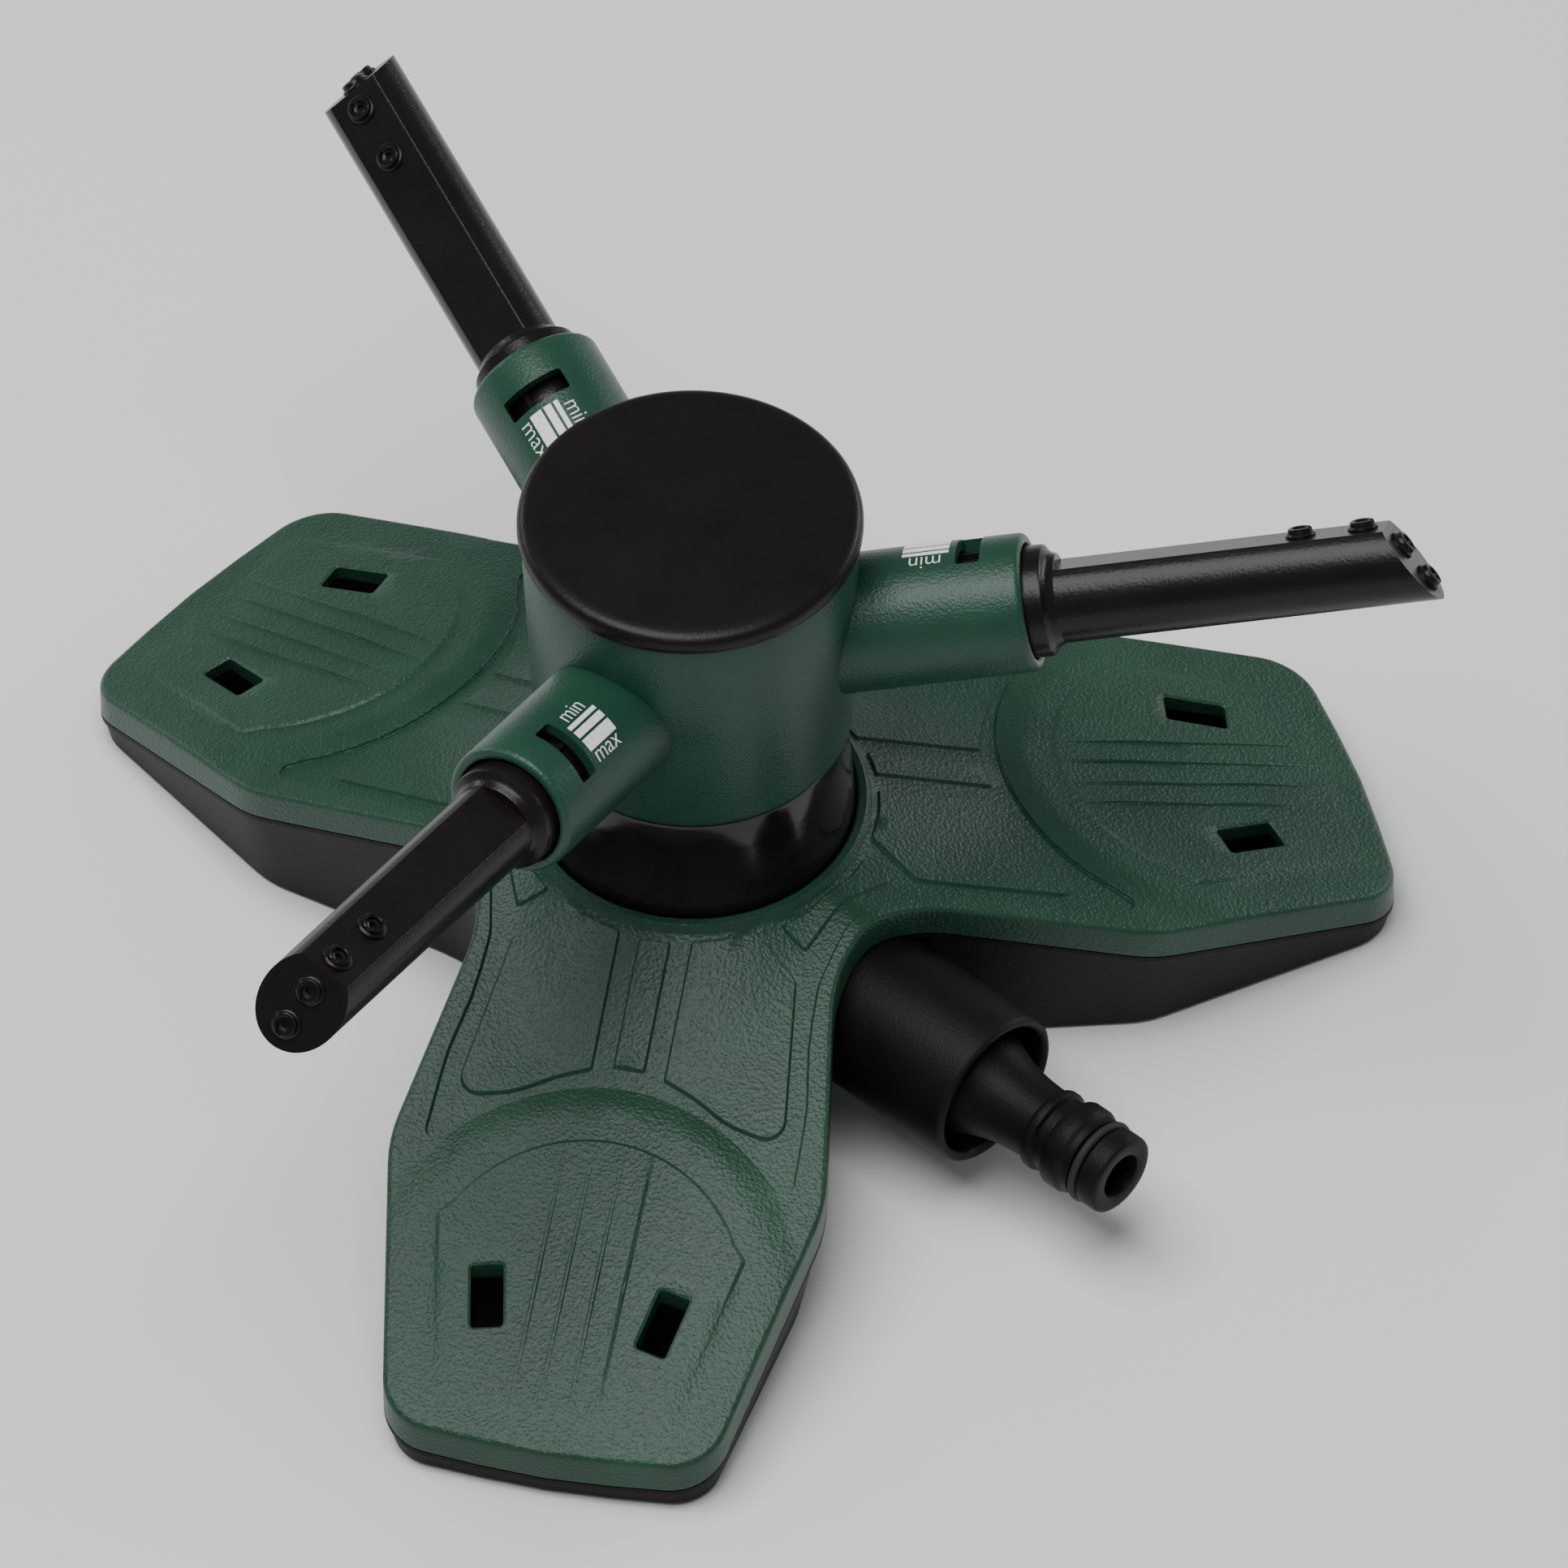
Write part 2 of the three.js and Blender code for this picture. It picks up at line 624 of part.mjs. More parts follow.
// ---------------------------------------------------------------- assembly
addNode('base_cover', makeCover(), green);
addNode('base_shell', makeShell(), black);
addNode('turret', makeTurret(), gloss);
addNode('inlet_housing', makeInletHousing(), black);
addNode('hose_nipple', makeNipple(), black);
addNode('nipple_o_ring', alongInlet(oRing(7.4, 0.8, 98.1)), rubber);
addNode('inlet_gasket', alongInlet(ring(6.3, 9.2, 52.3, 53.2)), rubber);
addNode('filter_screen', makeFilter(), steel);
addNode('feed_pipe', makeFeedPipe(), black);
addNode('feed_o_ring_inner', alongInlet(oRing(7.4, 0.6, 11)), rubber);
addNode('feed_o_ring_outer', alongInlet(oRing(7.4, 0.6, 41)), rubber);
screwPlaces.forEach((place, i) => addNode(`base_screw_${i + 1}`, at(screw(), place, baseSeat), steel));
turretScrewPlaces.forEach((place, i) => {
  addNode(`turret_screw_${i + 1}`, at(screw(), place, turretSeat), steel);
});
addNode('spindle', ring(spindleBore, spindleRadius, spindleBottom + gap, spindleTop, 20), brass);

function washer(bottom) {
  return ring(spindleRadius + gap, washerRadius, bottom, bottom + washerThickness);
}

addNode('lower_thrust_washer', washer(lowerWasherBottom), acetal);
addNode('upper_thrust_washer', washer(upperWasherBottom), acetal);
addNode('spindle_seal', ring(spindleRadius + gap, washerRadius - 0.4, sealBottom, sealBottom + 1.5), rubber);

const nutShape = new THREE.Shape();
for (let i = 0; i < 6; i += 1) {
  const turn = (i * Math.PI) / 3;
  nutShape.lineTo(nutRadius * Math.cos(turn), nutRadius * Math.sin(turn));
}
const nutHole = rod(spindleRadius + gap, nutBottom - 1, nutTop + 1);
addNode('spindle_nut', prism(nutShape, nutBottom, nutTop).subtract(nutHole), brass);

addNode('rotor_body', makeRotorBody(), green);
addNode('rotor_bushing', ring(spindleRadius + gap, bushingRadius, bushingBottom, bushingTop), acetal);
addNode('cap', makeCap(), black);
addNode('cap_gasket', ring(25, 27, 116, 117.2, 32), rubber);

armAngles.forEach((angle, i) => {
  const arm = new THREE.Group();
  arm.rotation.order = 'ZYX';
  arm.rotation.set(radians(-armTwists[i]), radians(-armRise), radians(angle));
  arm.position.set(0, 0, armHeight);
  object.add(arm);
  addNode(`arm_${i + 1}_tube`, makeArmTube(), black, arm);
  addNode(`arm_${i + 1}_end_plate`, makeEndPlate(), black, arm);
  addNode(`arm_${i + 1}_o_ring`, moved(oRing(9.4, 0.8, 34.2), outward), rubber, arm);
  addNode(`arm_${i + 1}_clip`, makeClip(), steel, arm);
});

export default object;
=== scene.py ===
import json
import math

import bpy
import numpy as np
from mathutils import Matrix, Vector
from mathutils.geometry import delaunay_2d_cdt

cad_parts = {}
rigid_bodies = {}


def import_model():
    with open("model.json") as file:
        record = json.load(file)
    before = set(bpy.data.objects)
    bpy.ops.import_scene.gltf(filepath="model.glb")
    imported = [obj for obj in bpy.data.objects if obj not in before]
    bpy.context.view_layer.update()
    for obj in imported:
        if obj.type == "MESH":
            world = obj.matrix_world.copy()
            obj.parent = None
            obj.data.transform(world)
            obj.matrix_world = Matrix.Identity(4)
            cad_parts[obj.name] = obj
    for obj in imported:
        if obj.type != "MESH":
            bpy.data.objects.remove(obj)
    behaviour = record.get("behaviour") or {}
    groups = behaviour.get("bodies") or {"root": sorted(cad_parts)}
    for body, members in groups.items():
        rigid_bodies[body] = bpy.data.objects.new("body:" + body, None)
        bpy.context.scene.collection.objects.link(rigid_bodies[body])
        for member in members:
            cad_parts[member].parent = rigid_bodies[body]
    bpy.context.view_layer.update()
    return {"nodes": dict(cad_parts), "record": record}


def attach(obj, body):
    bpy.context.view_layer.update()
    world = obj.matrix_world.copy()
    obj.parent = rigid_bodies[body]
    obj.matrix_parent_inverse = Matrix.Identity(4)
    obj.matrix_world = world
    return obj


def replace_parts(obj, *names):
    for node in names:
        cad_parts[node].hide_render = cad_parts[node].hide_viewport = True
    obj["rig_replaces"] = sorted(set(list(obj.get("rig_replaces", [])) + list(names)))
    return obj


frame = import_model()

# ---------------------------------------------------------------- camera, floor and light
# The camera looks down over the front lobe with a long lens. The floor is a plain pale sheet that
# the sprinkler stands on, and large soft lamps stand above it and on both sides.
mm = 0.001
neck_ring = Vector((0, 0, 50.2 * mm))
look_down = math.radians(47.95)
look_roll = math.radians(-0.89)
look_turn = math.radians(13.2)
camera_distance = 5.204
camera_slide = 15.98 * mm
camera_raise = 1.77 * mm

forward = Vector((0, math.cos(look_down), -math.sin(look_down)))
level_right = Vector((1, 0, 0))
level_up = Vector((0, math.sin(look_down), math.cos(look_down)))
right = level_right * math.cos(look_roll) + level_up * math.sin(look_roll)
up = level_up * math.cos(look_roll) - level_right * math.sin(look_roll)
spot = neck_ring - forward * camera_distance + right * camera_slide + up * camera_raise
place = Matrix((right, up, -forward)).transposed().to_4x4()
place.translation = spot

bpy.ops.object.select_all(action="DESELECT")
bpy.ops.object.camera_add()
camera = bpy.context.object
camera.matrix_world = Matrix.Rotation(look_turn, 4, "Z") @ place
camera.data.lens = 663.1
camera.data.sensor_width = 36
camera.data.clip_end = 30
bpy.context.scene.camera = camera

bpy.ops.object.select_all(action="DESELECT")
bpy.ops.mesh.primitive_plane_add(size=12, location=(0, 0, -0.2 * mm))
floor = bpy.context.object
floor.name = "floor"
paper = bpy.data.materials.new("pale_floor")
paper.use_nodes = True
paper_shader = paper.node_tree.nodes["Principled BSDF"]
paper_shader.inputs["Base Color"].default_value = (0.86, 0.86, 0.85, 1)
paper_shader.inputs["Roughness"].default_value = 0.9
floor.data.materials.append(paper)


def soft_lamp(name, spot, size, watts):
    bpy.ops.object.light_add(type="AREA", location=spot)
    lamp = bpy.context.object
    lamp.name = name
    lamp.data.shape = "RECTANGLE"
    lamp.data.size, lamp.data.size_y = size
    lamp.data.energy = watts
    toward = Vector((0, 0, 0.05)) - Vector(spot)
    lamp.rotation_euler = toward.to_track_quat("-Z", "Y").to_euler()
    return lamp


soft_lamp("lamp_above", (-0.2, -0.3, 1.5), (1.3, 0.9), 25)
soft_lamp("lamp_left", (-1.2, 0.6, 0.5), (0.7, 0.12), 3)
soft_lamp("lamp_right", (0.95, 1.1, 0.48), (0.8, 0.14), 5)

sky = bpy.data.worlds.new("studio")
bpy.context.scene.world = sky
sky.use_nodes = True
sky.node_tree.nodes["Background"].inputs["Color"].default_value = (0.93, 0.96, 1.0, 1)
sky.node_tree.nodes["Background"].inputs["Strength"].default_value = 0.26

# ---------------------------------------------------------------- base cover
# The green lid of the base: one moulding with three sloping lobes, a shallow hub round the neck, and
# a leather grain. Its top has a sunk field with raised panels, and a foot pad with two peg slots at
# the end of each lobe. Its rim hangs over the black tray below.
lobes = [math.radians(a) for a in (-90, 30, 150)]
roof_apex = 54.5
roof_slope = 0.34
band_height = 6.5
band_wall = 2.2
cover_skin = 2.5
crest_radius = 0.95
neck_hole = 29.3
cone_start = (33, 47.6)
cone_slope = 0.5
slot_centre = (100, 16.1)
slot_size = (11.2, 5.9)
slot_turn = math.radians(12)


def rounded(corners, step=7.0, spacing=3.0):
    """Points of a closed outline. Corners (x, y, radius) are tangent arcs, or plain where radius is 0."""
    points = []
    count = len(corners)
    for i, (x, y, radius) in enumerate(corners):
        here = Vector((x, y))
        if radius == 0:
            points.append(here)
            continue
        back = (Vector(corners[i - 1][:2]) - here).normalized()
        ahead = (Vector(corners[(i + 1) % count][:2]) - here).normalized()
        half = back.angle(ahead) / 2
        centre = here + (back + ahead).normalized() * radius / math.sin(half)
        start = here + back * radius / math.tan(half) - centre
        end = here + ahead * radius / math.tan(half) - centre
        sweep = math.atan2(start.cross(end), start.dot(end))
        steps = max(2, math.ceil(abs(math.degrees(sweep)) / step))
        for k in range(steps + 1):
            turned = Matrix.Rotation(sweep * k / steps, 2) @ start
            points.append(centre + turned)
    closed = []
    for i, point in enumerate(points):
        ahead = points[(i + 1) % len(points)]
        cuts = max(1, round((ahead - point).length / spacing))
        closed += [point.lerp(ahead, k / cuts) for k in range(cuts)]
    return np.array(closed)


def turned_plan(points, angle):
    c, s = math.cos(angle), math.sin(angle)
    return points @ np.array([[c, s], [-s, c]])


def shifted(loop, inset):
    """The same closed outline moved inward, for an outline that runs anticlockwise."""
    before, after = np.roll(loop, 1, 0), np.roll(loop, -1, 0)
    e1 = loop - before
    e2 = after - loop
    n1 = np.column_stack([-e1[:, 1], e1[:, 0]]) / np.linalg.norm(e1, axis=1)[:, None]
    n2 = np.column_stack([-e2[:, 1], e2[:, 0]]) / np.linalg.norm(e2, axis=1)[:, None]
    middle = n1 + n2
    middle /= np.linalg.norm(middle, axis=1)[:, None]
    return loop + middle * (inset / np.maximum(0.5, (middle * n1).sum(1)))[:, None]


def depth_inside(points, loop):
    """How far each point lies inside a closed outline; negative outside."""
    a, b = loop, np.roll(loop, -1, 0)
    best = np.full(len(points), 1e9)
    inside = np.zeros(len(points), bool)
    for (ax, ay), (bx, by) in zip(a, b):
        ex, ey = bx - ax, by - ay
        px, py = points[:, 0] - ax, points[:, 1] - ay
        t = np.clip((px * ex + py * ey) / (ex * ex + ey * ey), 0, 1)
        best = np.minimum(best, np.hypot(px - t * ex, py - t * ey))
        crosses = ((ay > points[:, 1]) != (by > points[:, 1]))
        if ay != by:
            inside ^= crosses & (px < ex * (points[:, 1] - ay) / ey)
    return np.where(inside, best, -best)


def eased(t):
    t = np.clip(t, 0, 1)
    return t * t * (3 - 2 * t)


def lobe_frame(points):
    """Distance along the nearest lobe, and across it on either side."""
    along = np.array([points @ (math.cos(a), math.sin(a)) for a in lobes])
    across = np.array([points @ (-math.sin(a), math.cos(a)) for a in lobes])
    pick = along.argmax(0)
    every = np.arange(len(points))
    return along[pick, every], across[pick, every]


def blended_max(a, b, width):
    gap = np.clip(width - np.abs(a - b), 0, None)
    return np.maximum(a, b) + gap * gap / (4 * width)


def roof(points):
    along = [points @ (math.cos(a), math.sin(a)) for a in lobes]
    ridge = blended_max(blended_max(along[0], along[1], 5), along[2], 5)
    return roof_apex - roof_slope * ridge


valley_along = (40.3 - 0.18 * 73.7) / (math.sqrt(3) - 0.18)
lobe_corners = [
    (73.7, -40.3, 24), (124.6, -30, 10.5), (127, 0, 150), (124.6, 30, 10.5),
    (73.7, 40.3, 24), (valley_along, valley_along * math.sqrt(3), 25),
]


def all_lobes(corners):
    """The corners of one lobe, followed round all three."""
    out = []
    for angle in lobes:
        plan = turned_plan(np.array([c[:2] for c in corners]), angle)
        out += [(x, y, c[2]) for (x, y), c in zip(plan, corners)]
    return out


outline = rounded(all_lobes(lobe_corners))

# The sunk field follows the rim 5 mm inside it and ends in an arc at each foot pad.
foot_centre = 99
foot_radius = 40
pad_centre = 96.5
pad_radius = 33.5


def arc(centre, radius, degrees, spacing=4.0):
    """Points of an arc round (centre, 0) that faces the hub, from one side to the other."""
    count = math.ceil(2 * degrees / spacing) + 1
    angles = np.radians(np.linspace(-degrees, degrees, count))
    return [(centre - radius * math.cos(t), radius * math.sin(t), 0) for t in angles]


field_side = [(75.4, 34.2, 2.2), (56, 33.3, 40), (46, 31, 60), (33.9, 30.4, 12)]
field_lobe = [(x, -y, radius) for x, y, radius in reversed(field_side)]
field_lobe += arc(foot_centre, foot_radius, 46)
field_lobe += field_side
field_lobe += [(19.4, 33.6, 22)]
field = rounded(all_lobes(field_lobe), spacing=2.5)

panel_inner = 33.0
side_panel = rounded([
    (56.1, 6.5, 0.8), (58.4, 13, 24), (62.2, 19.6, 20), (64.4, 30.6, 3.6), (33.7, 26.2, 2.2),
    (27.6, 17.4, 1.2), (31.0, 11.5, 20), (math.sqrt(panel_inner**2 - 6.5**2), 6.5, 0.8),
], spacing=2.5)
centre_panel = rounded([(33.2, -3, 0.5), (55.3, -3, 0.5), (55.3, 3, 0.5), (33.2, 3, 0.5)])


def polar(radius, degrees, corner):
    return radius * math.cos(math.radians(degrees)), radius * math.sin(math.radians(degrees)), corner


bisector_panel = rounded([
    polar(33, 20, 0.8), polar(33, 10, 12), polar(33, -10, 12), polar(33, -20, 0.8),
    polar(39, -17, 0.8), (36.0, 0, 14), polar(39, 17, 0.8),
], spacing=2.5)
pad = rounded([(86.5, 33.2, 4), (121.5, 26.7, 5), (121.5, -26.7, 5), (86.5, -33.2, 4)]
              + arc(pad_centre, pad_radius, 66))
inset_panel = rounded([(86.5, 28.5, 1.5), (120.5, 21.5, 2), (120.5, -21.5, 2), (86.5, -28.5, 1.5)]
                      + arc(99, 30, 60))
half_length, half_width = slot_size[0] / 2, slot_size[1] / 2
slot_loop = rounded([(half_length, -half_width, 0.7), (half_length, half_width, 0.7),
                     (-half_length, half_width, 0.7), (-half_length, -half_width, 0.7)], 20)
slots = [turned_plan(slot_loop, -side * slot_turn) + (slot_centre[0], side * slot_centre[1])
         for side in (-1, 1)]


def anticlockwise(loop):
    ahead = np.roll(loop, -1, 0)
    area = np.sum(loop[:, 0] * ahead[:, 1] - ahead[:, 0] * loop[:, 1])
    return loop if area > 0 else loop[::-1]


outline, field, side_panel, centre_panel, bisector_panel, pad, inset_panel = [
    anticlockwise(loop) for loop in
    (outline, field, side_panel, centre_panel, bisector_panel, pad, inset_panel)
]
outline = shifted(outline, 0.1)

field_depth = 0.7
panel_height = 0.6
pad_height = 1.2
pad_fade = 124
inset_height = 0.45
step_width = 0.45
line_half = 0.45
line_height = 0.6
foot_lines = (2.75, 7.9)


def relief(points):
    """Height of the cover's pattern above its plain sloping top."""
    along, across = lobe_frame(points)
    folded = np.column_stack([along, np.abs(across)])
    turn = np.radians(60) - np.arctan2(folded[:, 1], folded[:, 0])
    reach = np.hypot(*points.T)
    by_valley = np.column_stack([reach * np.cos(turn), reach * np.sin(turn)])
    height = -field_depth * eased(depth_inside(points, field) / step_width)
    for spots, loop in ((folded, side_panel), (folded, centre_panel), (by_valley, bisector_panel)):
        height += panel_height * eased(depth_inside(spots, loop) / step_width)
    beyond = np.clip(-depth_inside(folded, pad), 0, None)
    entered = np.clip(foot_radius - np.hypot(along - foot_centre, across), 0, None)
    fade = np.clip((pad_fade - along) / (pad_fade - pad_centre + pad_radius), 0, 1)
    height += pad_height * fade * entered / (entered + beyond + 1e-6)
    fine_fade = np.clip((pad_fade - 2 - along) / 30, 0, 1)
    height += inset_height * fine_fade * eased(depth_inside(folded, inset_panel) / 0.7)
    on_line = np.clip((along - 70) / 6, 0, 1) * np.clip((119 - along) / 12, 0, 1)
    for line in foot_lines:
        height += line_height * on_line * eased(1 - np.abs(folded[:, 1] - line) / line_half)
    rim = np.clip(crest_radius - depth_inside(points, outline), 0, crest_radius)
    height -= crest_radius - np.sqrt(crest_radius**2 - rim**2)
    for slot in slots[1:]:
        height -= 0.35 * eased(1 + depth_inside(folded, slot) / 0.5)
    return height


lip_profile = [(29.3, 49.9), (29.7, 50.2), (30.9, 50.2), (31.4, 49.7), (31.9, 48.5), (33, 47.6)]
lip_radii, lip_heights = zip(*lip_profile)


def cover_height(points):
    reach = np.hypot(*points.T)
    cone = cone_start[1] - cone_slope * (reach - cone_start[0])
    hub = np.where(reach < cone_start[0], np.interp(reach, lip_radii, lip_heights), cone)
    return blended_max(roof(points), hub, 1.2)


def ring_loop(radius, count=120):
    turns = np.arange(count) * 2 * math.pi / count
    return np.column_stack([radius * np.cos(turns), radius * np.sin(turns)])


def mirrored(loop):
    return (loop * (1, -1))[::-1]


steps = [step_width * part for part in (0, 0.25, 0.5, 0.75, 1)]
crest_insets = [0, 0.05, 0.2, 0.45, 0.72, crest_radius, band_wall]
loops = [shifted(outline, inset) for inset in crest_insets]
loops += [shifted(field, inset) for inset in steps]
loops += [ring_loop(radius) for radius in lip_radii]
line_plan = []
for line in [side * line for line in foot_lines for side in (-1, 1)]:
    line_plan += [np.array([(70, line + edge), (95, line + edge), (118, line + edge)])
                  for edge in (-line_half, -0.2, 0.2, line_half)]
for angle in lobes:
    for inset in steps:
        for loop in (side_panel, mirrored(side_panel), centre_panel):
            loops.append(turned_plan(shifted(loop, inset), angle))
        loops.append(turned_plan(shifted(bisector_panel, inset), angle + math.pi / 3))
    for inset in (0, 0.35, 0.7):
        loops.append(turned_plan(shifted(inset_panel, inset), angle))
    loops.append(turned_plan(pad, angle))
    for slot in slots:
        loops += [turned_plan(shifted(anticlockwise(slot), -inset), angle) for inset in (0, 0.25, 0.5)]
chains = [turned_plan(chain, angle) for chain in line_plan for angle in lobes]
foot_arc = np.array(arc(foot_centre, foot_radius, 74))[:, :2]
chains += [turned_plan(foot_arc, angle) for angle in lobes]
ridge_reach = np.linspace(33, 42, 5)
chains += [turned_plan(np.column_stack([ridge_reach, 0 * ridge_reach]), angle + math.pi / 3)
           for angle in lobes]

grid = np.array([(x, y) for x in np.arange(-130, 130, 3.0) for y in np.arange(-130, 130, 3.0)])
clear = depth_inside(grid, outline) > 2.5
for loop in loops:
    clear &= np.abs(depth_inside(grid, loop)) > 0.9
grid = grid[clear]

coords, edges = [], []
for loop in loops:
    first = len(coords)
    coords += [Vector(p) for p in loop]
    edges += [(first + i, first + (i + 1) % len(loop)) for i in range(len(loop))]
for chain in chains:
    first = len(coords)
    coords += [Vector(p) for p in chain]
    edges += [(first + i, first + i + 1) for i in range(len(chain) - 1)]
coords += [Vector(p) for p in grid]
plan_points, _, triangles, *_ = delaunay_2d_cdt(coords, edges, [], 0, 1e-4)
flat = np.array([tuple(p) for p in plan_points])
triangles = np.array([t for t in triangles])
middles = flat[triangles].mean(1)
least_depth = 0.005  # leaves out flat slivers along the straight parts of the rim
kept = (depth_inside(middles, outline) > least_depth) & (np.hypot(*middles.T) > neck_hole)
for angle in lobes:
    for slot in slots:
        kept &= depth_inside(middles, turned_plan(slot, angle)) < 0
sheet = bpy.data.meshes.new("base_cover")
sheet.from_pydata([(x, y, 0) for x, y in flat], [], triangles[kept].tolist())
cover = bpy.data.objects.new("base_cover_moulding", sheet)
bpy.context.scene.collection.objects.link(cover)


def work_on(piece):
    bpy.ops.object.select_all(action="DESELECT")
    bpy.context.view_layer.objects.active = piece
    piece.select_set(True)


def points_of(piece):
    flat_list = np.zeros(len(piece.data.vertices) * 3)
    piece.data.vertices.foreach_get("co", flat_list)
    return flat_list.reshape(-1, 3)


def put_points(piece, points):
    piece.data.vertices.foreach_set("co", np.ascontiguousarray(points, float).ravel())
    piece.data.update()


# The sheet is thickened by pulling it down, and its rim is then pulled further down as the skirt.
work_on(cover)
bpy.ops.object.mode_set(mode="EDIT")
bpy.ops.mesh.select_all(action="SELECT")
bpy.ops.mesh.delete_loose()
bpy.ops.mesh.select_all(action="SELECT")
bpy.ops.mesh.extrude_region_move(TRANSFORM_OT_translate={"value": (0, 0, -cover_skin)})
bpy.ops.mesh.select_mode(type="FACE")
bpy.ops.mesh.select_all(action="DESELECT")
bpy.ops.object.mode_set(mode="OBJECT")
low = points_of(cover)[:, 2] < -1
centres = np.array([face.center[:2] for face in cover.data.polygons])
in_rim = depth_inside(centres, outline) < band_wall
for face, near_rim in zip(cover.data.polygons, in_rim):
    face.select = bool(near_rim and low[list(face.vertices)].all())
bpy.ops.object.mode_set(mode="EDIT")
bpy.ops.mesh.extrude_region_move(TRANSFORM_OT_translate={"value": (0, 0, cover_skin - band_height)})
bpy.ops.mesh.select_all(action="SELECT")
bpy.ops.mesh.normals_make_consistent(inside=False)
bpy.ops.object.mode_set(mode="OBJECT")
points = points_of(cover)
pattern = np.where(points[:, 2] > -1, relief(points[:, :2]), points[:, 2])
points[:, 2] = cover_height(points[:, :2]) + pattern
put_points(cover, points * mm)
bpy.ops.object.shade_smooth_by_angle(angle=math.radians(28))


def shader_of(material):
    return material.node_tree.nodes["Principled BSDF"]


def link(material, source, output, target, socket):
    material.node_tree.links.new(source.outputs[output], target.inputs[socket])


def add_node(material, kind, **settings):
    made = material.node_tree.nodes.new(kind)
    for key, value in settings.items():
        if key in made.inputs:
            made.inputs[key].default_value = value
        else:
            setattr(made, key, value)
    return made


def moulded_plastic(name, dark, light, rough, grain_scale, grain_depth, shine=0.4):
    """Moulded plastic: two close shades in soft clouds, an even grain, and a finish that varies."""
    material = bpy.data.materials.new(name)
    material.use_nodes = True
    shader = shader_of(material)
    shader.inputs["Specular IOR Level"].default_value = shine
    where = add_node(material, "ShaderNodeTexCoord")
    clouds = add_node(material, "ShaderNodeTexNoise", Scale=55.0, Detail=4.0, Roughness=0.6)
    shades = add_node(material, "ShaderNodeValToRGB")
    shades.color_ramp.elements[0].position = 0.3
    shades.color_ramp.elements[1].position = 0.7
    shades.color_ramp.elements[0].color = (*dark, 1)
    shades.color_ramp.elements[1].color = (*light, 1)
    finish = add_node(material, "ShaderNodeMapRange")
    finish.inputs["To Min"].default_value = rough[0]
    finish.inputs["To Max"].default_value = rough[1]
    grain = add_node(material, "ShaderNodeTexVoronoi", Scale=grain_scale)
    grain.feature = "SMOOTH_F1"
    grain.inputs["Smoothness"].default_value = 0.6
    specks = add_node(material, "ShaderNodeTexNoise", Scale=grain_scale * 1.7, Detail=3.0)
    heights = add_node(material, "ShaderNodeMath", operation="ADD")
    bump = add_node(material, "ShaderNodeBump", Strength=0.8, Distance=grain_depth)
    for texture in (clouds, grain, specks):
        link(material, where, "Object", texture, "Vector")
    link(material, clouds, "Fac", shades, "Fac")
    link(material, shades, "Color", shader, "Base Color")
    link(material, clouds, "Fac", finish, "Value")
    link(material, finish, "Result", shader, "Roughness")
    link(material, grain, "Distance", heights, 0)
    link(material, specks, "Fac", heights, 1)
    link(material, heights, "Value", bump, "Height")
    link(material, bump, "Normal", shader, "Normal")
    return material


grained_green = moulded_plastic("grained_green", (0.010, 0.044, 0.024), (0.015, 0.060, 0.034),
                                (0.30, 0.40), 1400, 0.00014, 0.32)
cover.data.materials.append(grained_green)
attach(cover, "base")
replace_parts(cover, "base_cover")

# ---------------------------------------------------------------- base shell
# The black tray under the cover: a leaning wall with a narrow lip under the cover's rim, a flat
# floor that stands on the grass, and a sleeve round each peg slot. One moulding in satin black.
shell_gap = 0.3
shell_lean = 0.2
shell_wall = 2.0
lip_tall = 0.9
lip_step = 0.5
inlet_angle = math.radians(-30)
inlet_height = 24.5
collar_radius = 15


def lofted(name, rings, ends=(True, True)):
    """A skin through rings of equal count, with flat ends where asked."""
    count = len(rings[0])
    verts = [tuple(p) for ring in rings for p in ring]
    faces = []
    for k in range(len(rings) - 1):
        for i in range(count):
            j = (i + 1) % count
            faces.append((k * count + i, k * count + j, (k + 1) * count + j, (k + 1) * count + i))
    if ends[0]:
        faces.append(tuple(reversed(range(count))))
    if ends[1]:
        faces.append(tuple(range((len(rings) - 1) * count, len(rings) * count)))
    mesh = bpy.data.meshes.new(name)
    mesh.from_pydata(verts, [], faces)
    piece = bpy.data.objects.new(name, mesh)
    bpy.context.scene.collection.objects.link(piece)
    return piece


def applied(piece, kind, **settings):
    work_on(piece)
    modifier = piece.modifiers.new(kind.lower(), kind)
    for key, value in settings.items():
        setattr(modifier, key, value)
    bpy.ops.object.modifier_apply(modifier=modifier.name)
    return piece


def combined(piece, other, how):
    """Joins, cuts or trims a piece with another solid, which is then gone."""
    applied(piece, "BOOLEAN", object=other, operation=how, solver="EXACT")
    bpy.data.objects.remove(other)
    return piece


def block(name, size, middle, corner=0.0, segments=3):
    """A box with its upright edges rounded."""
    bpy.ops.object.select_all(action="DESELECT")
    bpy.ops.mesh.primitive_cube_add(size=1, location=(0, 0, 0))
    piece = bpy.context.object
    piece.name = name
    put_points(piece, points_of(piece) * size + middle)
    if corner:
        bpy.ops.object.mode_set(mode="EDIT")
        bpy.ops.mesh.select_mode(type="EDGE")
        bpy.ops.mesh.select_all(action="DESELECT")
        bpy.ops.object.mode_set(mode="OBJECT")
        for edge in piece.data.edges:
            a, b = (piece.data.vertices[i].co for i in edge.vertices)
            edge.select = abs(a.x - b.x) + abs(a.y - b.y) < 1e-6
        bpy.ops.object.mode_set(mode="EDIT")
        bpy.ops.mesh.bevel(offset=corner, segments=segments)
        bpy.ops.object.mode_set(mode="OBJECT")
    return piece


